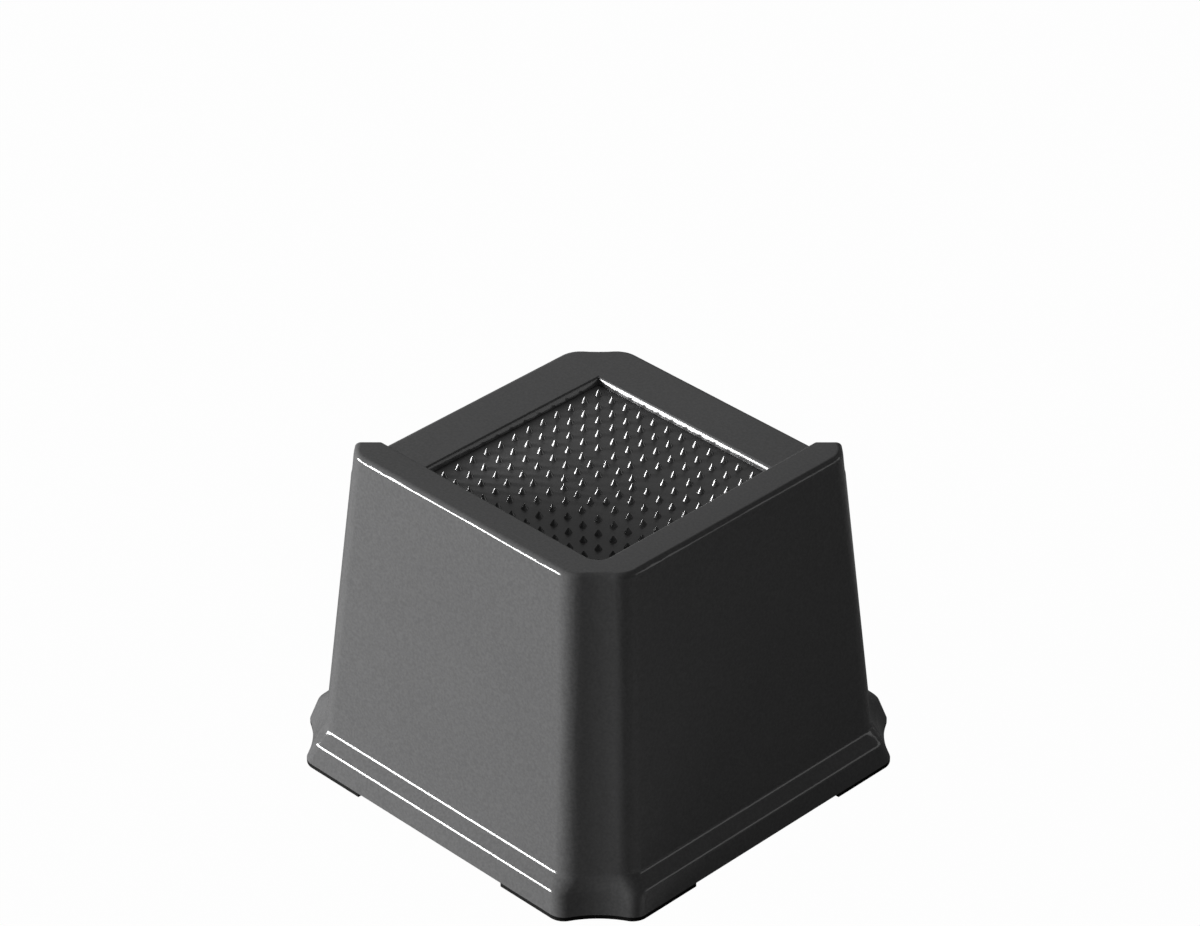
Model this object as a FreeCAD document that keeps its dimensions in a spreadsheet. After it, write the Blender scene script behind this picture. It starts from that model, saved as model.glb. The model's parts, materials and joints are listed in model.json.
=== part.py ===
"""Bed riser: a hollow square plastic block with a lipped deck, a spiked rubber mat
in the deck and four rubber pads under the corners. Millimetres, +Z up, the origin
on the floor under the middle. The lip stands on the -Y and +X sides."""

import FreeCAD
import Part
import Sketcher
import os
from math import asin, cos, pi, radians, sin, sqrt, tan

doc = FreeCAD.newDocument("bed_riser")

# Driving sizes
SIZES = {
    # heights of the bands, from the floor up
    "padHeight": 1.7,
    "flangeRise": 6.9,
    "slopeRise": 4.4,
    "wallRise": 88.6,
    "lipHeight": 14.8,
    # outside: half the width at the floor, and how far each band leans inwards
    "baseHalf": 75.6,
    "flangeRun": 1.9,
    "slopeRun": 4.1,
    "wallRun": 9.5,
    # scooped corners
    "baseCut": 18.4,
    "footCutLess": 3.0,
    "topCutLess": 2.2,
    "baseShoulder": 6.0,
    "wallShoulderMore": 3.0,
    "baseScoop": 34.0,
    "wallScoop": 50.0,
    # edge rounding
    "edgeRadius": 2.0,
    "flangeRadius": 2.5,
    "lipInnerEdge": 0.8,
    # lip
    "lipThick": 13.4,
    "lipDraft": 8.0,
    "lipCornerRadius": 5.0,
    # recess in the deck
    "rimWidth": 17.1,
    "rimSlope": 31.0,
    "recessDepth": 4.6,
    "recessDraft": 3.0,
    # hollow underside
    "wallThick": 3.2,
    "deckThick": 3.4,
    "ribThick": 2.6,
    "ribRaise": 10.0,
    "seatThick": 3.0,
    # rubber mat: its rings of cones are shares of the outermost ring
    "matGap": 0.5,
    "matDrop": 2.1,
    "matCorner": 1.6,
    "coneHeight": 2.0,
    "coneFoot": 1.2,
    "coneTip": 0.25,
    "coneMargin": 3.75,
    "ringOneShare": 0.0937,
    "ringTwoShare": 0.2484,
    "ringThreeShare": 0.3854,
    # corner pads
    "padLength": 43.0,
    "padWidth": 12.0,
    "padEdge": 0.5,
}
RING_COUNT = 7
RING_SHARES = ("ringOneShare", "ringTwoShare", "ringThreeShare")
QUARTER = pi / 2

sheet = doc.addObject("Spreadsheet::Sheet", "Sizes")
for row, (name, value) in enumerate(SIZES.items(), start=1):
    sheet.set(f"A{row}", name)
    sheet.set(f"B{row}", str(value))
    sheet.setAlias(f"B{row}", name)
doc.recompute()


def size(name):
    """One driving size read from the sheet."""
    return float(sheet.get(name))


def cell(name):
    """The sheet's cell as an expression names it."""
    return f"Sizes.{name}"


def add_sketch(body, name, role, height=None):
    """A sketch on one of the body's own planes, raised by an expression."""
    plane = next(f for f in body.Origin.OriginFeatures if f.Role == role)
    sketch = body.newObject("Sketcher::SketchObject", name)
    sketch.AttachmentSupport = (plane, [""])
    sketch.MapMode = "FlatFace"
    if height is not None:
        sketch.setExpression("AttachmentOffset.Base.z", height)
    return sketch


def bind(sketch, constraint, expression):
    """Adds a dimension to a sketch and ties it to the sheet."""
    index = sketch.addConstraint(constraint)
    sketch.setExpression(f"Constraints[{index}]", expression)


def place_point(sketch, edge, point, along, value, expression):
    """Holds a point at a signed distance from the sketch's origin."""
    ends = (-1, 1, edge, point) if value > 0 else (edge, point, -1, 1)
    bind(sketch, Sketcher.Constraint(f"Distance{along}", *ends, abs(value)), expression)


# Outline of the block at one level: four straight sides and four scooped corners.
# An inset moves the whole outline inwards, for the hollow.


class Outline:
    """The sizes of one outline, as numbers and as expressions of the sheet."""

    def __init__(self, half, cut, shoulder, scoop, inset="0"):
        self.half = f"({half}-{inset})"
        self.cut = f"({cut}-{inset}*(2-sqrt(2)))"
        self.convex = f"({shoulder}-{inset})"
        self.concave = f"({scoop}+{inset})"
        reach = f"({self.cut}/sqrt(2)-{self.convex}*tan(22.5))"
        rise = f"sqrt(({self.concave}+{self.convex})^2-{reach}^2)"
        self.centre = f"((2*{self.half}-{self.cut})/2+({rise}-{self.convex})/sqrt(2))"
        self.tilt = asin(number(reach) / number(f"({self.concave}+{self.convex})"))


def number(expression):
    """The value that an expression of the sheet has now."""
    return float(sheet.evalExpression(expression.replace("Sizes.", "")))


def arc(centre, radius, start, end):
    """An arc between two angles, counter-clockwise."""
    middle = FreeCAD.Vector(centre[0], centre[1], 0)
    circle = Part.Circle(middle, FreeCAD.Vector(0, 0, 1), radius)
    return Part.ArcOfCircle(circle, start, end)


def corner_arcs(outline, turn):
    """Shoulder, scoop and shoulder of one corner, and where the scoop's centre is."""
    convex, concave = number(outline.convex), number(outline.concave)
    reach = number(outline.centre) * sqrt(2)
    middle = (reach * cos(turn), reach * sin(turn))
    arcs = []
    for side in (-1, 1):
        away = turn + pi - side * outline.tilt
        centre = (middle[0] + (concave + convex) * cos(away),
                  middle[1] + (concave + convex) * sin(away))
        facing = turn - side * outline.tilt
        flat = turn + side * pi / 4
        arcs.append(arc(centre, convex, min(facing, flat), max(facing, flat)))
    scoop = arc(middle, concave, turn + pi - outline.tilt, turn + pi + outline.tilt)
    return [arcs[0], scoop, arcs[1]]


def add_corner(sketch, outline, turn):
    """Draws one scooped corner and holds it by its radii and the scoop's centre."""
    first, scoop, second = sketch.addGeometry(corner_arcs(outline, turn))
    sketch.addConstraint(Sketcher.Constraint("Tangent", first, 2, scoop, 2))
    sketch.addConstraint(Sketcher.Constraint("Tangent", scoop, 1, second, 1))
    sketch.addConstraint(Sketcher.Constraint("Equal", first, second))
    bind(sketch, Sketcher.Constraint("Radius", first, number(outline.convex)), outline.convex)
    bind(sketch, Sketcher.Constraint("Radius", scoop, number(outline.concave)), outline.concave)
    reach = number(outline.centre)
    place_point(sketch, scoop, 3, "X", reach if cos(turn) > 0 else -reach, outline.centre)
    place_point(sketch, scoop, 3, "Y", reach if sin(turn) > 0 else -reach, outline.centre)
    return first, second


def add_side(sketch, start, end, along):
    """Draws one straight edge, level or upright."""
    line = Part.LineSegment(FreeCAD.Vector(*start, 0), FreeCAD.Vector(*end, 0))
    edge = sketch.addGeometry(line)
    sketch.addConstraint(Sketcher.Constraint("Horizontal" if along == "X" else "Vertical", edge))
    return edge


def end_point(sketch, edge, point):
    """The present place of an edge's end in the sketch."""
    place = sketch.getPoint(edge, point)
    return place.x, place.y


def draw_outline(sketch, outline):
    """The whole outline of one level."""
    corners = [add_corner(sketch, outline, QUARTER * (k + 0.5)) for k in range(4)]
    for k in range(4):
        before, after = corners[k][1], corners[(k + 1) % 4][0]
        along = "X" if k % 2 == 0 else "Y"
        side = add_side(sketch, end_point(sketch, before, 2), end_point(sketch, after, 1), along)
        sketch.addConstraint(Sketcher.Constraint("Tangent", before, 2, side, 1))
        sketch.addConstraint(Sketcher.Constraint("Tangent", side, 2, after, 1))
        half = number(outline.half) * (1 if k in (0, 3) else -1)
        place_point(sketch, side, 1, "Y" if along == "X" else "X", half, outline.half)


def draw_polygon(sketch, points):
    """A closed polygon whose corners are held by pairs of expressions."""
    places = [(number(x), number(y)) for x, y in points]
    count = len(points)
    edges = []
    for k in range(count):
        start, end = places[k], places[(k + 1) % count]
        line = Part.LineSegment(FreeCAD.Vector(*start, 0), FreeCAD.Vector(*end, 0))
        edges.append(sketch.addGeometry(line))
    for k in range(count):
        after = edges[(k + 1) % count]
        sketch.addConstraint(Sketcher.Constraint("Coincident", edges[k], 2, after, 1))
    for edge, place, expressions in zip(edges, places, points):
        for along, value, expression in zip("XY", place, expressions):
            sign = "" if value > 0 else "-"
            place_point(sketch, edge, 1, along, value, f"{sign}({expression})")
    return edges


def level_edges(shape, height, keep=lambda edge: True):
    """Names of the edges that lie wholly at one height."""
    names = []
    for index, edge in enumerate(shape.Edges, start=1):
        box = edge.BoundBox
        if abs(box.ZMin - height) < 0.01 and abs(box.ZMax - height) < 0.01 and keep(edge):
            names.append(f"Edge{index}")
    return names


def add_fillet(body, name, base, edges, radius):
    """Rounds the named edges of the body's last feature."""
    fillet = body.newObject("PartDesign::Fillet", name)
    fillet.Base = (base, edges)
    fillet.setExpression("Radius", cell(radius))
    doc.recompute()
    return fillet


# Body of the riser

riser = doc.addObject("PartDesign::Body", "RiserBody")
riser.Label = "riser_body"

flange_top = f"({cell('padHeight')}+{cell('flangeRise')})"
wall_foot = f"({flange_top}+{cell('slopeRise')})"
deck_level = f"({wall_foot}+{cell('wallRise')})"
lip_top = f"({deck_level}+{cell('lipHeight')})"
ceiling = f"({deck_level}-{cell('recessDepth')}-{cell('deckThick')})"

flange_half = f"({cell('baseHalf')}-{cell('flangeRun')})"
foot_half = f"({flange_half}-{cell('slopeRun')})"
top_half = f"({foot_half}-{cell('wallRun')})"
lip_inner = f"({top_half}-{cell('lipThick')})"
rim = f"({top_half}-{cell('rimWidth')})"

ceiling_share = f"(({ceiling}-{wall_foot})/({lip_top}-{wall_foot}))"
ceiling_half = f"({foot_half}-{cell('wallRun')}*{ceiling_share})"
foot_cut = f"({cell('baseCut')}-{cell('footCutLess')})"
top_cut = f"({foot_cut}-{cell('topCutLess')})"
ceiling_cut = f"({foot_cut}-{cell('topCutLess')}*{ceiling_share})"
wall_shoulder = f"({cell('baseShoulder')}+{cell('wallShoulderMore')})"
wall_corner = (wall_shoulder, cell("wallScoop"))
base_corner = (cell("baseShoulder"), cell("baseScoop"))

outside = [
    ("TopOutline", lip_top, top_half, top_cut, *wall_corner),
    ("FootOutline", wall_foot, foot_half, foot_cut, *wall_corner),
    ("FlangeOutline", flange_top, flange_half, cell("baseCut"), *base_corner),
    ("BaseOutline", cell("padHeight"), cell("baseHalf"), cell("baseCut"), *base_corner),
]


def add_outline(body, name, height, half, cut, shoulder, scoop, inset="0"):
    """A sketch with the block's outline at one height."""
    sketch = add_sketch(body, name, "XY_Plane", height)
    draw_outline(sketch, Outline(half, cut, shoulder, scoop, inset))
    return sketch


def add_loft(body, kind, name, sketches):
    """A ruled loft through the sketches, from the highest to the lowest."""
    doc.recompute()
    loft = body.newObject(f"PartDesign::{kind}Loft", name)
    loft.Profile = (sketches[0], [""])
    loft.Sections = [(sketch, [""]) for sketch in sketches[1:]]
    loft.Ruled = True
    doc.recompute()
    return loft


block = add_loft(riser, "Additive", "Block", [add_outline(riser, *row) for row in outside])
flange_edges = level_edges(block.Shape, number(flange_top))
flange_edges += level_edges(block.Shape, number(wall_foot))
add_fillet(riser, "FlangeRound", block, flange_edges, "flangeRadius")

# Lip: above the deck all is cut away but an L on the -Y and +X sides. Its ends lie
# in the upright plane through two corners, and its inner faces lean outwards.
beyond = f"({cell('baseHalf')}*2)"
lip_outline = add_sketch(riser, "LipCutOutline", "XY_Plane", deck_level)
draw_polygon(lip_outline, [
    (f"-{beyond}", f"-{beyond}"),
    (f"-{lip_inner}", f"-{lip_inner}"),
    (lip_inner, f"-{lip_inner}"),
    (lip_inner, lip_inner),
    (beyond, beyond),
    (f"-{beyond}", beyond),
])
doc.recompute()
lip_cut = riser.newObject("PartDesign::Pocket", "LipCut")
lip_cut.Profile = lip_outline
lip_cut.Reversed = True
lip_cut.setExpression("Length", f"{cell('lipHeight')}+1")
lip_cut.setExpression("TaperAngle", cell("lipDraft"))
doc.recompute()


def upright_inner(edge):
    """Whether an edge is the lip's own inner corner."""
    box = edge.BoundBox
    near = number(lip_inner)
    inside = abs(box.XMin - near) < 3 and abs(box.YMax + near) < 3
    return inside and box.ZLength > size("lipHeight") / 2


inner_corner = [f"Edge{i}" for i, e in enumerate(lip_cut.Shape.Edges, start=1) if upright_inner(e)]
lip_corner = add_fillet(riser, "LipCorner", lip_cut, inner_corner, "lipCornerRadius")

# Recess for the mat: a sloping rim down to the mat's top, then an upright wall
slope_run = f"({cell('matDrop')}*tan({cell('rimSlope')}))"
wall_line = f"({rim}-{slope_run})"


def add_square_pocket(name, level, half, depth, taper):
    """A square pocket in the deck, narrower towards its bottom."""
    outline = add_sketch(riser, f"{name}Outline", "XY_Plane", level)
    corners = [(f"-{half}", f"-{half}"), (half, f"-{half}"), (half, half), (f"-{half}", half)]
    draw_polygon(outline, corners)
    doc.recompute()
    pocket = riser.newObject("PartDesign::Pocket", name)
    pocket.Profile = outline
    pocket.setExpression("Length", depth)
    pocket.setExpression("TaperAngle", f"-{taper}")
    doc.recompute()
    return pocket


add_square_pocket("RimSlope", deck_level, rim, cell("matDrop"), cell("rimSlope"))
mat_level = f"({deck_level}-{cell('matDrop')})"
mat_depth = f"({cell('recessDepth')}-{cell('matDrop')})"
recess = add_square_pocket("Recess", mat_level, wall_line, mat_depth, cell("recessDraft"))


def along_diagonal(edge):
    """Whether an edge belongs to one of the lip's ends, near the line x = y."""
    start, end = edge.Vertexes[0].Point, edge.Vertexes[-1].Point
    return abs((end.x - start.x) - (end.y - start.y)) < 0.01 and start.x * start.y > 0


def reach_of(edge):
    """How far out from the middle an edge gets along X or Y."""
    return max(max(abs(v.Point.x), abs(v.Point.y)) for v in edge.Vertexes)


lip_inner_top = number(lip_inner) + size("lipHeight") * tan(radians(size("lipDraft"))) + 0.2


def is_outer(edge):
    """Whether an edge belongs to the block's outside."""
    return reach_of(edge) > lip_inner_top and not along_diagonal(edge)


def is_inner(edge):
    """Whether an edge belongs to the lip's inner faces."""
    return reach_of(edge) <= lip_inner_top and not along_diagonal(edge)


top = number(lip_top)
outer_edges = level_edges(recess.Shape, top, is_outer)
outer_edges += level_edges(recess.Shape, number(deck_level), is_outer)
rounded = add_fillet(riser, "EdgeRound", recess, outer_edges, "edgeRadius")
inner_edges = level_edges(rounded.Shape, top, is_inner)
add_fillet(riser, "LipInnerEdge", rounded, inner_edges, "lipInnerEdge")

# Hollow underside
inside = [
    ("HollowTop", ceiling, ceiling_half, ceiling_cut, *wall_corner),
    ("HollowFoot", wall_foot, foot_half, foot_cut, *wall_corner),
    ("HollowBase", cell("padHeight"), cell("baseHalf"), cell("baseCut"), *base_corner),
]
add_loft(riser, "Subtractive", "Hollow", [add_outline(riser, *row, cell("wallThick")) for row in inside])

# Ribs: a plain cross from wall to wall, clear of the floor
half_wall = f"{cell('wallThick')}/2"
rib_foot = f"({cell('padHeight')}+{cell('ribRaise')})"
rib_share = f"(({rib_foot}-{wall_foot})/({ceiling}-{wall_foot}))"
rib_foot_half = f"({foot_half}+({ceiling_half}-{foot_half})*{rib_share}-{half_wall})"
rib_top = f"({ceiling}+{cell('deckThick')}/2)"
rib_top_half = f"({ceiling_half}-{half_wall})"
for name, role in (("RibAcross", "XZ_Plane"), ("RibAlong", "YZ_Plane")):
    outline = add_sketch(riser, f"{name}Outline", role)
    draw_polygon(outline, [
        (f"-{rib_foot_half}", rib_foot),
        (rib_foot_half, rib_foot),
        (rib_top_half, rib_top),
        (f"-{rib_top_half}", rib_top),
    ])
    doc.recompute()
    rib = riser.newObject("PartDesign::Pad", name)
    rib.Profile = outline
    rib.SideType = "Symmetric"
    rib.setExpression("Length", cell("ribThick"))
    doc.recompute()

# Flat seats in the four corners, which carry the rubber pads
seat_outer = f"({cell('baseHalf')}-{half_wall})"
seat_near = f"({cell('baseHalf')}-{cell('padLength')})"
seat_side = f"({cell('baseHalf')}-{cell('padWidth')})"
seat_slant = f"({seat_outer}-{cell('baseCut')}-{cell('baseShoulder')}/2)"
for k, (right, back) in enumerate(((1, 1), (-1, 1), (-1, -1), (1, -1))):
    outline = add_sketch(riser, f"SeatOutline{k}", "XY_Plane", cell("padHeight"))
    across, along = ("" if right > 0 else "-"), ("" if back > 0 else "-")
    draw_polygon(outline, [
        (f"{across}{seat_side}", f"{along}{seat_near}"),
        (f"{across}{seat_outer}", f"{along}{seat_near}"),
        (f"{across}{seat_outer}", f"{along}{seat_slant}"),
        (f"{across}{seat_slant}", f"{along}{seat_outer}"),
        (f"{across}{seat_near}", f"{along}{seat_outer}"),
        (f"{across}{seat_near}", f"{along}{seat_side}"),
    ])
    doc.recompute()
    seat = riser.newObject("PartDesign::Pad", f"Seat{k}")
    seat.Profile = outline
    seat.setExpression("Length", cell("seatThick"))
    doc.recompute()

# Rubber pads under the corners, flush with the outline
PAD_NAMES = ("foot_pad_back_right", "foot_pad_back_left", "foot_pad_front_left", "foot_pad_front_right")


def draw_pad(sketch):
    """The outline of the pad in the +X +Y corner."""
    base = Outline(cell("baseHalf"), cell("baseCut"), *base_corner)
    first, second = add_corner(sketch, base, pi / 4)
    half = number(base.half)
    near = half - size("padLength")
    side = half - size("padWidth")
    right = add_side(sketch, (half, near), end_point(sketch, first, 1), "Y")
    back = add_side(sketch, end_point(sketch, second, 2), (near, half), "X")
    left = add_side(sketch, (near, half), (near, side), "Y")
    slant_line = Part.LineSegment(FreeCAD.Vector(near, side, 0), FreeCAD.Vector(side, near, 0))
    slant = sketch.addGeometry(slant_line)
    front = add_side(sketch, (side, near), (half, near), "X")
    sketch.addConstraint(Sketcher.Constraint("Tangent", right, 2, first, 1))
    sketch.addConstraint(Sketcher.Constraint("Tangent", second, 2, back, 1))
    for before, after in ((back, left), (left, slant), (slant, front), (front, right)):
        sketch.addConstraint(Sketcher.Constraint("Coincident", before, 2, after, 1))
    place_point(sketch, right, 1, "X", half, base.half)
    place_point(sketch, back, 1, "Y", half, base.half)
    place_point(sketch, left, 2, "X", near, seat_near)
    place_point(sketch, left, 2, "Y", side, seat_side)
    place_point(sketch, front, 1, "X", side, seat_side)
    place_point(sketch, front, 1, "Y", near, seat_near)


pads = []
for k, label in enumerate(PAD_NAMES):
    body = doc.addObject("PartDesign::Body", f"FootPad{k}")
    body.Label = label
    outline = add_sketch(body, f"PadOutline{k}", "XY_Plane")
    draw_pad(outline)
    doc.recompute()
    slab = body.newObject("PartDesign::Pad", f"PadSlab{k}")
    slab.Profile = outline
    slab.setExpression("Length", cell("padHeight"))
    doc.recompute()
    add_fillet(body, f"PadEdge{k}", slab, level_edges(slab.Shape, 0.0), "padEdge")
    body.Placement = FreeCAD.Placement(FreeCAD.Vector(), FreeCAD.Rotation(90 * k, 0, 0))
    pads.append(body)

# Rubber mat in the recess. Its cones stand in square rings round the middle, each
# ring with two more cones a side than the one inside it; the second has no corners.


def ring_sites(ring):
    """Where the cones of one ring stand."""
    if ring <= 3:
        half = grid_half * size(RING_SHARES[ring - 1])
    else:
        half = ring_three + (ring - 3) * ring_step
    steps = max(1, 2 * (ring - 1))
    pitch = ring_step if ring == 2 else 2 * half / steps
    sites = []
    for turn in range(4):
        for step in range(steps + (ring == 2)):
            along = (step - steps / 2) * pitch
            across, back = half * [1, 0, -1, 0][turn], half * [0, 1, 0, -1][turn]
            sites.append((across - along * [0, 1, 0, -1][turn], back + along * [1, 0, -1, 0][turn]))
    return sites


recess_floor = number(deck_level) - size("recessDepth")
mat_thick = number(mat_depth)
mat_half = number(wall_line) - mat_thick * tan(radians(size("recessDraft"))) - size("matGap")
grid_half = mat_half - size("coneMargin")
ring_three = grid_half * size("ringThreeShare")
ring_step = (grid_half - ring_three) / (RING_COUNT - 3)

corner = FreeCAD.Vector(-mat_half, -mat_half, recess_floor)
slab = Part.makeBox(2 * mat_half, 2 * mat_half, mat_thick, corner)
uprights = [edge for edge in slab.Edges if edge.BoundBox.ZLength > mat_thick / 2]
slab = slab.makeFillet(size("matCorner"), uprights)
cones = []
for ring in range(1, RING_COUNT + 1):
    for x, y in ring_sites(ring):
        foot = FreeCAD.Vector(x, y, recess_floor + mat_thick)
        cones.append(Part.makeCone(size("coneFoot"), size("coneTip"), size("coneHeight"), foot))
mat = doc.addObject("Part::Feature", "GripMat")
mat.Label = "grip_mat"
mat.Shape = slab.multiFuse(cones)
doc.recompute()

# Checks, then one file for each piece
pieces = [riser, mat, *pads]
for item in doc.Objects:
    if {"Invalid", "Error"} & set(item.State):
        raise RuntimeError(f"{item.Label} did not rebuild: {item.State}")
for piece in pieces:
    if piece.Shape.isNull() or not piece.Shape.isValid():
        raise RuntimeError(f"{piece.Label} has no valid shape")
    if len(piece.Shape.Solids) != 1:
        raise RuntimeError(f"{piece.Label} is not one solid")
os.makedirs("parts", exist_ok=True)
for piece in pieces:
    piece.Shape.exportStep(f"parts/{piece.Label}.step")
    box = piece.Shape.optimalBoundingBox()
    print(piece.Label, round(piece.Shape.Volume), [round(v, 2) for v in (
        box.XMin, box.XMax, box.YMin, box.YMax, box.ZMin, box.ZMax)])
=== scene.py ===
import json
from math import radians

import bmesh
import bpy
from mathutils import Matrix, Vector

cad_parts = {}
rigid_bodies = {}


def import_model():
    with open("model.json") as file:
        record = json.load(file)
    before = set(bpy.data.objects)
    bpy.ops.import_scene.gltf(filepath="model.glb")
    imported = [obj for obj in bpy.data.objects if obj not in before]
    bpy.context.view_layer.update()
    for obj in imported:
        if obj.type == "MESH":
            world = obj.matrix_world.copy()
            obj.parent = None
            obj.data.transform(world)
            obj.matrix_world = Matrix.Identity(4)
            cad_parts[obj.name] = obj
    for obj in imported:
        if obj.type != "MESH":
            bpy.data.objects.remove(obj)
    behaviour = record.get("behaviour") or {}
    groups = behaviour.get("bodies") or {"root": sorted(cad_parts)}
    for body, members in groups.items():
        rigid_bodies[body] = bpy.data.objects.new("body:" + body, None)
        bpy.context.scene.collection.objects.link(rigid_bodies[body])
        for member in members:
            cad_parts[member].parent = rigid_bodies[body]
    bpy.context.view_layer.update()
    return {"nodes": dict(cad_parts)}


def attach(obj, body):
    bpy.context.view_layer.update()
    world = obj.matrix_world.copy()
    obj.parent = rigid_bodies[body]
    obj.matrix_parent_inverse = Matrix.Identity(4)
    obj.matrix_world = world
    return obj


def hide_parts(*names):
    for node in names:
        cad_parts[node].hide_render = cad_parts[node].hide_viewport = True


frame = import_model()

nodes = frame["nodes"]
print("frame loaded:", ", ".join(sorted(nodes)))


# shader helpers: a socket that takes part in sums, and one way to add any other node

class Link:
    def __init__(self, maker, socket):
        self.maker = maker
        self.socket = socket

    def combine(self, operation, first, second):
        return self.maker.node("ShaderNodeMath", {"operation": operation}, {0: first, 1: second})

    def __add__(self, other):
        return self.combine("ADD", self, other)

    def __radd__(self, other):
        return self.combine("ADD", other, self)

    def __sub__(self, other):
        return self.combine("SUBTRACT", self, other)

    def __rsub__(self, other):
        return self.combine("SUBTRACT", other, self)

    def __mul__(self, other):
        return self.combine("MULTIPLY", self, other)

    def __rmul__(self, other):
        return self.combine("MULTIPLY", other, self)


class Maker:
    def __init__(self, tree):
        self.tree = tree

    def socketOf(self, sockets, key):  # found by its place, by its identifier, or by its name
        if isinstance(key, int):
            return sockets[key]
        byIdentifier = [s for s in sockets if s.identifier == key]
        byName = [s for s in sockets if s.name == key and s.enabled]
        return (byIdentifier or byName)[0]

    def node(self, kind, settings=None, sockets=None, out=0):
        made = self.tree.nodes.new(kind)
        for name, value in (settings or {}).items():
            if name == "stops":  # a ramp's two stops as (place, grey) pairs
                for stop, (place, grey) in zip(made.color_ramp.elements, value):
                    stop.position = place
                    stop.color = (grey, grey, grey, 1)
            else:
                setattr(made, name, value)
        for key, value in (sockets or {}).items():
            target = self.socketOf(made.inputs, key)
            if isinstance(value, Link):
                self.tree.links.new(value.socket, target)
            else:
                target.default_value = value
        if made.outputs:
            return Link(self, self.socketOf(made.outputs, out))


def newMaterial(name):
    material = bpy.data.materials.new(name)
    material.use_nodes = True
    material.node_tree.nodes.clear()
    return material, Maker(material.node_tree)


mouldedLook = {  # what the moulded surfaces share; each noise has its detail and its roughness
    "cloudNoise": (4.0, 0.55), "speckNoise": (2.0, 0.6), "grainNoise": (3.0, 0.7),
    "noiseMiddle": 0.5, "toneStops": [(0.35, 0.0), (0.65, 1.0)],
}


def noiseOf(maker, where, scale, kind):
    detail, rough = kind
    return maker.node("ShaderNodeTexNoise", {}, {
        "Vector": where, "Scale": scale, "Detail": detail, "Roughness": rough})


def mouldedMaterial(name, look):  # a moulded surface: cloudy and speckled tone, uneven polish, fine grain
    material, maker = newMaterial(name)
    where = maker.node("ShaderNodeTexCoord", {}, {}, "Object")
    clouds = noiseOf(maker, where, look["cloudScale"], mouldedLook["cloudNoise"])
    specks = noiseOf(maker, where, look["speckScale"], mouldedLook["speckNoise"])
    grain = noiseOf(maker, where, look["grainScale"], mouldedLook["grainNoise"])
    tone = clouds * look["cloudShare"] + specks * (1 - look["cloudShare"])
    toneRamp = maker.node("ShaderNodeValToRGB", {"stops": mouldedLook["toneStops"]}, {"Fac": tone}, "Color")
    colour = maker.node("ShaderNodeMix", {"data_type": "RGBA"}, {
        0: toneRamp, "A_Color": (*look["dark"], 1), "B_Color": (*look["pale"], 1)}, "Result_Color")
    middle = mouldedLook["noiseMiddle"]
    unevenness = (clouds - middle) * look["polishSpread"] + (specks - middle) * look["speckSpread"]
    roughness = unevenness + look["roughness"]
    if "polishedAbove" in look:  # what stands above this level came from a smoother part of the mould
        height = maker.node("ShaderNodeSeparateXYZ", {}, {"Vector": where}, "Z")
        above = height.combine("GREATER_THAN", height, look["polishedAbove"])
        roughness = roughness + above * (look["polishedRoughness"] - look["roughness"])
    bump = maker.node("ShaderNodeBump", {}, {
        "Height": grain, "Strength": look["grainStrength"], "Distance": look["grainHeight"]})
    shader = maker.node("ShaderNodeBsdfPrincipled", {}, {
        "Base Color": colour, "Roughness": roughness, "Normal": bump, "IOR": look["ior"],
        "Specular IOR Level": look["specular"]})
    maker.node("ShaderNodeOutputMaterial", {}, {"Surface": shader})
    return material


plasticLook = {
    "dark": (0.092, 0.092, 0.093), "pale": (0.113, 0.113, 0.114), "cloudScale": 28.0, "cloudShare": 0.15,
    "speckScale": 1100.0, "grainScale": 2600.0, "grainStrength": 0.1, "grainHeight": 0.00001,
    "roughness": 0.118, "polishSpread": 0.015, "speckSpread": 0.015, "ior": 1.5, "specular": 0.5,
}
matLook = {
    "dark": (0.078, 0.078, 0.079), "pale": (0.116, 0.116, 0.117), "cloudScale": 60.0, "cloudShare": 0.6,
    "speckScale": 1500.0, "grainScale": 3200.0, "grainStrength": 0.06, "grainHeight": 0.00001,
    "roughness": 0.36, "polishSpread": 0.02, "speckSpread": 0.02, "ior": 1.5, "specular": 0.9,
    "polishedAbove": 0.09955, "polishedRoughness": 0.2,
}
padLook = {
    "dark": (0.008, 0.008, 0.008), "pale": (0.014, 0.014, 0.014), "cloudScale": 70.0, "cloudShare": 0.6,
    "speckScale": 1300.0, "grainScale": 3000.0, "grainStrength": 0.4, "grainHeight": 0.00008,
    "roughness": 0.72, "polishSpread": 0.08, "speckSpread": 0.06, "ior": 1.5, "specular": 0.06,
}
plasticBlack = mouldedMaterial("plasticBlack", plasticLook)
rubberMat = mouldedMaterial("rubberMat", matLook)
rubberPad = mouldedMaterial("rubberPad", padLook)
print("materials made")


# body of the riser: the solid's own form with merged corners, a softened recess edge and clean shading

bodySizes = {
    "mergeDistance": 0.000002, "sharpAngle": 32.0, "normalWeight": 80,
    "deckLevel": 0.1016, "recessHalf": 0.0430, "recessEdge": 0.0004, "recessSteps": 3,
    "recessTurn": 20.0, "near": 0.00002,
}
roundProfile = 0.5  # a bevel's profile for a round arc


def mergedCopy(node, name, mergeDistance):
    mesh = node.data.copy()
    mesh.name = name
    mesh.materials.clear()
    work = bmesh.new()
    work.from_mesh(mesh)
    bmesh.ops.remove_doubles(work, verts=work.verts, dist=mergeDistance)
    work.to_mesh(mesh)
    work.free()
    piece = bpy.data.objects.new(name, mesh)
    bpy.context.scene.collection.objects.link(piece)
    return piece


def shadeBySharpEdges(mesh, sharpAngle):
    work = bmesh.new()
    work.from_mesh(mesh)
    for face in work.faces:
        face.smooth = True
    for edge in work.edges:
        edge.smooth = len(edge.link_faces) == 2 and edge.calc_face_angle() < radians(sharpAngle)
    work.to_mesh(mesh)
    work.free()


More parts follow.
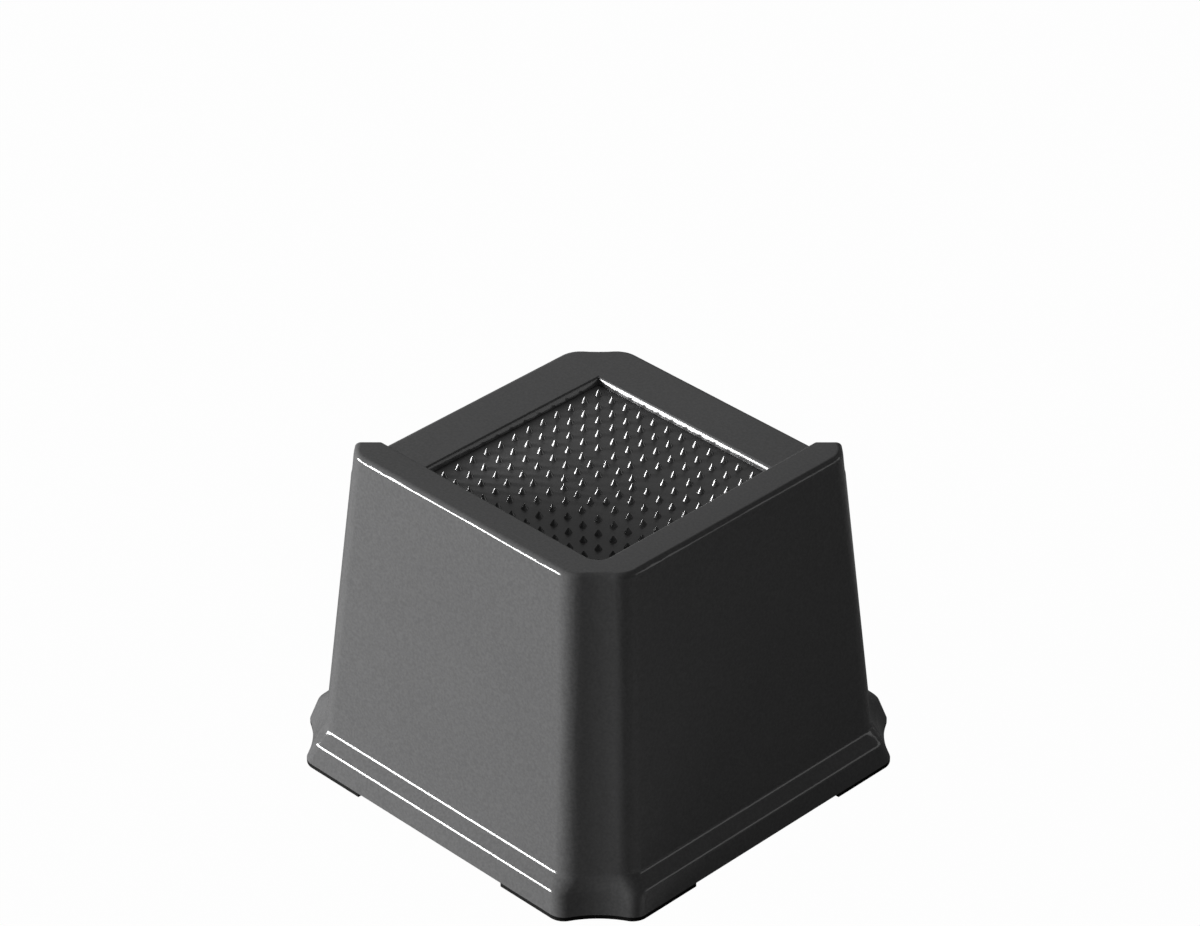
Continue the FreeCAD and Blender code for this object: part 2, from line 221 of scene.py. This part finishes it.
def cleanNormals(piece, weight):  # the large faces lead, so that narrow rounded edges shade evenly
    modifier = piece.modifiers.new("cleanNormals", "WEIGHTED_NORMAL")
    modifier.keep_sharp = True
    modifier.weight = weight


def roundRecess(mesh, sizes):  # softens the edge where the deck turns down to the mat
    work = bmesh.new()
    work.from_mesh(mesh)

    def onRim(v):
        reach = max(abs(v.co.x), abs(v.co.y))
        onDeck = abs(v.co.z - sizes["deckLevel"]) < sizes["near"]
        return onDeck and abs(reach - sizes["recessHalf"]) < sizes["near"]

    around = [e for e in work.edges if onRim(e.verts[0]) and onRim(e.verts[1])]
    rim = [e for e in around if e.calc_face_angle(0) > radians(sizes["recessTurn"])]
    bmesh.ops.bevel(work, geom=rim, offset=sizes["recessEdge"], segments=sizes["recessSteps"],
                    profile=roundProfile, affect="EDGES", clamp_overlap=True)
    print("recess edges rounded:", len(rim))
    work.to_mesh(mesh)
    work.free()


riserBody = mergedCopy(nodes["riser_body"], "riserBody", bodySizes["mergeDistance"])
roundRecess(riserBody.data, bodySizes)
shadeBySharpEdges(riserBody.data, bodySizes["sharpAngle"])
riserBody.data.materials.append(plasticBlack)
cleanNormals(riserBody, bodySizes["normalWeight"])
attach(riserBody, "root")
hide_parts("riser_body")
print("body:", len(riserBody.data.polygons), "faces")


# mat: a slab with rounded corners, and its cones from a node tree

matSizes = {
    "half": 0.04148, "bottom": 0.0970, "top": 0.0995, "corner": 0.0016, "cornerSteps": 5,
    "edge": 0.00012, "edgeSteps": 3, "near": 0.00001, "sharpAngle": 40.0,
    "coneFoot": 0.00125, "coneTip": 0.00014, "coneHeight": 0.0020, "coneSides": 24,
    "ringHalf": [0.0035, 0.00928, 0.0144, 0.02014, 0.02588, 0.03162, 0.03736],
    "ringSides": 4, "openRing": 1, "openRingCount": 3, "openRingStep": 0.00576,
}


def slabMesh(name, sizes):
    width = 2 * sizes["half"]
    depth = sizes["top"] - sizes["bottom"]
    middle = (sizes["top"] + sizes["bottom"]) / 2
    work = bmesh.new()
    bmesh.ops.create_cube(work, size=1.0)
    bmesh.ops.scale(work, vec=(width, width, depth), verts=work.verts)
    bmesh.ops.translate(work, vec=(0, 0, middle), verts=work.verts)
    uprights = [e for e in work.edges if abs(e.verts[0].co.z - e.verts[1].co.z) > depth / 2]
    bmesh.ops.bevel(work, geom=uprights, offset=sizes["corner"], segments=sizes["cornerSteps"],
                    profile=roundProfile, affect="EDGES")
    rim = [e for e in work.edges if min(v.co.z for v in e.verts) > sizes["top"] - sizes["near"]]
    bmesh.ops.bevel(work, geom=rim, offset=sizes["edge"], segments=sizes["edgeSteps"],
                    profile=roundProfile, affect="EDGES")
    bmesh.ops.recalc_face_normals(work, faces=work.faces)
    mesh = bpy.data.meshes.new(name)
    work.to_mesh(mesh)
    work.free()
    return mesh


def conesTree(sizes, material):  # rings of cones standing on the slab, joined with it
    tree = bpy.data.node_groups.new("conesOnMat", "GeometryNodeTree")
    tree.is_modifier = True
    face = tree.interface
    face.new_socket("Geometry", in_out="INPUT", socket_type="NodeSocketGeometry")
    for name in ("Cone Foot", "Cone Tip", "Cone Height", "Mat Top"):
        face.new_socket(name, in_out="INPUT", socket_type="NodeSocketFloat")
    face.new_socket("Geometry", in_out="OUTPUT", socket_type="NodeSocketGeometry")
    maker = Maker(tree)
    given = tree.nodes.new("NodeGroupInput")
    inputs = {s.name: Link(maker, s) for s in given.outputs if s.name}
    join = tree.nodes.new("GeometryNodeJoinGeometry")
    sides = sizes["ringSides"]
    step = sizes["openRingStep"]
    for k, half in enumerate(sizes["ringHalf"]):
        if k == sizes["openRing"]:  # a few cones a side and none in its corners
            for turn in range(sides):
                line = maker.node("GeometryNodeMeshLine", {"mode": "OFFSET"}, {
                    "Count": sizes["openRingCount"], "Start Location": (-step, half, 0),
                    "Offset": (step, 0, 0)}, "Mesh")
                turned = maker.node("GeometryNodeTransform", {}, {
                    "Geometry": line, "Rotation": (0, 0, radians(360 / sides * turn))})
                dots = maker.node("GeometryNodeMeshToPoints", {}, {"Mesh": turned})
                tree.links.new(dots.socket, join.inputs[0])
        else:  # a closed square: two more cones a side with each ring out, and one a side in the middle
            square = maker.node("GeometryNodeCurvePrimitiveQuadrilateral", {"mode": "RECTANGLE"}, {
                "Width": 2 * half, "Height": 2 * half})
            spaced = maker.node("GeometryNodeCurveToPoints", {"mode": "COUNT"}, {
                "Curve": square, "Count": sides * max(1, 2 * k)}, "Points")
            tree.links.new(spaced.socket, join.inputs[0])
    cone = maker.node("GeometryNodeMeshCone", {"fill_type": "NGON"}, {
        "Vertices": sizes["coneSides"], "Radius Top": inputs["Cone Tip"],
        "Radius Bottom": inputs["Cone Foot"], "Depth": inputs["Cone Height"]}, "Mesh")
    placed = maker.node("GeometryNodeInstanceOnPoints", {}, {
        "Points": Link(maker, join.outputs[0]), "Instance": cone})
    rise = maker.node("ShaderNodeCombineXYZ", {}, {"Z": inputs["Mat Top"]})
    raised = maker.node("GeometryNodeTransform", {}, {"Geometry": placed, "Translation": rise})
    whole = tree.nodes.new("GeometryNodeJoinGeometry")
    tree.links.new(inputs["Geometry"].socket, whole.inputs[0])
    tree.links.new(raised.socket, whole.inputs[0])
    real = maker.node("GeometryNodeRealizeInstances", {}, {"Geometry": Link(maker, whole.outputs[0])})
    painted = maker.node("GeometryNodeSetMaterial", {}, {"Geometry": real, "Material": material})
    out = tree.nodes.new("NodeGroupOutput")
    tree.links.new(painted.socket, out.inputs[0])
    return tree


def runTree(piece, tree, material, values):  # evaluates the tree once and keeps the plain mesh
    modifier = piece.modifiers.new("cones", "NODES")
    modifier.node_group = tree
    identifiers = {s.name: s.identifier for s in tree.interface.items_tree if s.in_out == "INPUT"}
    for name, value in values.items():
        modifier[identifiers[name]] = value
    bpy.context.view_layer.update()
    seen = piece.evaluated_get(bpy.context.evaluated_depsgraph_get())
    mesh = bpy.data.meshes.new_from_object(seen)
    piece.modifiers.clear()
    piece.data = mesh
    mesh.materials.clear()
    mesh.materials.append(material)
    mesh.polygons.foreach_set("material_index", [0] * len(mesh.polygons))


gripMat = bpy.data.objects.new("gripMat", slabMesh("gripMat", matSizes))
bpy.context.scene.collection.objects.link(gripMat)
runTree(gripMat, conesTree(matSizes, rubberMat), rubberMat, {
    "Cone Foot": matSizes["coneFoot"], "Cone Tip": matSizes["coneTip"],
    "Cone Height": matSizes["coneHeight"], "Mat Top": matSizes["top"]})
shadeBySharpEdges(gripMat.data, matSizes["sharpAngle"])
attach(gripMat, "root")
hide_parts("grip_mat")
print("mat:", len(gripMat.data.polygons), "faces")


# pads under the corners

padSizes = {"mergeDistance": 0.000002, "sharpAngle": 32.0, "normalWeight": 50}
padNames = ["foot_pad_back_right", "foot_pad_back_left", "foot_pad_front_left", "foot_pad_front_right"]
for padName in padNames:
    pad = mergedCopy(nodes[padName], padName.replace("_", "-"), padSizes["mergeDistance"])
    shadeBySharpEdges(pad.data, padSizes["sharpAngle"])
    pad.data.materials.append(rubberPad)
    cleanNormals(pad, padSizes["normalWeight"])
    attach(pad, "root")
    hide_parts(padName)
print("pads made:", len(padNames))


# floor, world and lamps

white = (1, 1, 1, 1)
floorLook = {
    "half": 4.0, "colour": (0.2, 0.2, 0.2), "roughness": 0.85, "cameraShare": 0.985, "glossShare": 0.04,
}


def floorMaterial(look):  # matte to the lamps, white to the camera, and clear from below
    material, maker = newMaterial("paleFloor")
    matte = maker.node("ShaderNodeBsdfDiffuse", {}, {
        "Color": (*look["colour"], 1), "Roughness": look["roughness"]})
    glow = maker.node("ShaderNodeEmission", {}, {"Color": white, "Strength": 1.0})
    seen = maker.node("ShaderNodeLightPath", {}, {}, "Is Camera Ray")
    mirrored = maker.node("ShaderNodeLightPath", {}, {}, "Is Glossy Ray")
    through = maker.node("ShaderNodeLightPath", {}, {}, "Is Transmission Ray")
    share = (seen + through) * look["cameraShare"] + mirrored * look["glossShare"]
    mixed = maker.node("ShaderNodeMixShader", {}, {0: share, 1: matte, 2: glow})
    below = maker.node("ShaderNodeNewGeometry", {}, {}, "Backfacing")
    clear = maker.node("ShaderNodeBsdfTransparent", {}, {"Color": white})
    whole = maker.node("ShaderNodeMixShader", {}, {0: below, 1: mixed, 2: clear})
    maker.node("ShaderNodeOutputMaterial", {}, {"Surface": whole})
    return material


reach = floorLook["half"]
floorCorners = [(-reach, -reach, 0), (reach, -reach, 0), (reach, reach, 0), (-reach, reach, 0)]
floorMesh = bpy.data.meshes.new("floor")
floorMesh.from_pydata(floorCorners, [], [(0, 1, 2, 3)])
floorMesh.materials.append(floorMaterial(floorLook))
floor = bpy.data.objects.new("floor", floorMesh)
bpy.context.scene.collection.objects.link(floor)

worldLook = {"light": 0.1}  # what the world gives the part; the camera sees it white
world = bpy.data.worlds.new("studio")
world.use_nodes = True
world.node_tree.nodes.clear()
air = Maker(world.node_tree)
cameraRay = air.node("ShaderNodeLightPath", {}, {}, "Is Camera Ray")
airGlow = air.node("ShaderNodeBackground", {}, {
    "Color": white, "Strength": cameraRay * (1 - worldLook["light"]) + worldLook["light"]})
air.node("ShaderNodeOutputWorld", {}, {"Surface": airGlow})
bpy.context.scene.world = world

lampLooks = {  # sideBox draws the bright lines, rimBox lights the right face and backBox the deck
    "sideBox": {"place": (-1.09, -1.11, 0.31), "aim": (0, 0, 0.06),
                "width": 1.0, "height": 0.46, "watts": 57.0},
    "rimBox": {"place": (1.10, 1.15, 0.42), "aim": (0, 0, 0.06),
               "width": 1.3, "height": 0.42, "watts": 1.65},
    "backBox": {"place": (-1.07, 1.07, 0.97), "aim": (0, 0, 0.05),
                "width": 1.3, "height": 1.3, "watts": 1.0},
}
for name, look in lampLooks.items():
    lamp = bpy.data.lights.new(name, "AREA")
    lamp.shape = "RECTANGLE"
    lamp.size = look["width"]
    lamp.size_y = look["height"]
    lamp.energy = look["watts"]
    holder = bpy.data.objects.new(name, lamp)
    holder.location = look["place"]
    towards = Vector(look["aim"]) - Vector(look["place"])
    holder.rotation_euler = towards.to_track_quat("-Z", "Y").to_euler()
    bpy.context.scene.collection.objects.link(holder)

bpy.context.scene.view_settings.view_transform = "Standard"
print("floor, world and lamps set")


# camera as in the photograph

cameraSizes = {
    "place": (0.8786, -0.8776, 0.9083), "down": 32.82, "turn": 45.01,
    "lens": 142.2, "sensor": 36.0, "farthest": 50.0,
}
cameraData = bpy.data.cameras.new("camera")
cameraData.sensor_fit = "HORIZONTAL"
cameraData.sensor_width = cameraSizes["sensor"]
cameraData.lens = cameraSizes["lens"]
cameraData.clip_end = cameraSizes["farthest"]
camera = bpy.data.objects.new("camera", cameraData)
camera.location = cameraSizes["place"]
camera.rotation_euler = (radians(90 - cameraSizes["down"]), 0, radians(cameraSizes["turn"]))
bpy.context.scene.collection.objects.link(camera)
bpy.context.scene.camera = camera
print("camera set")
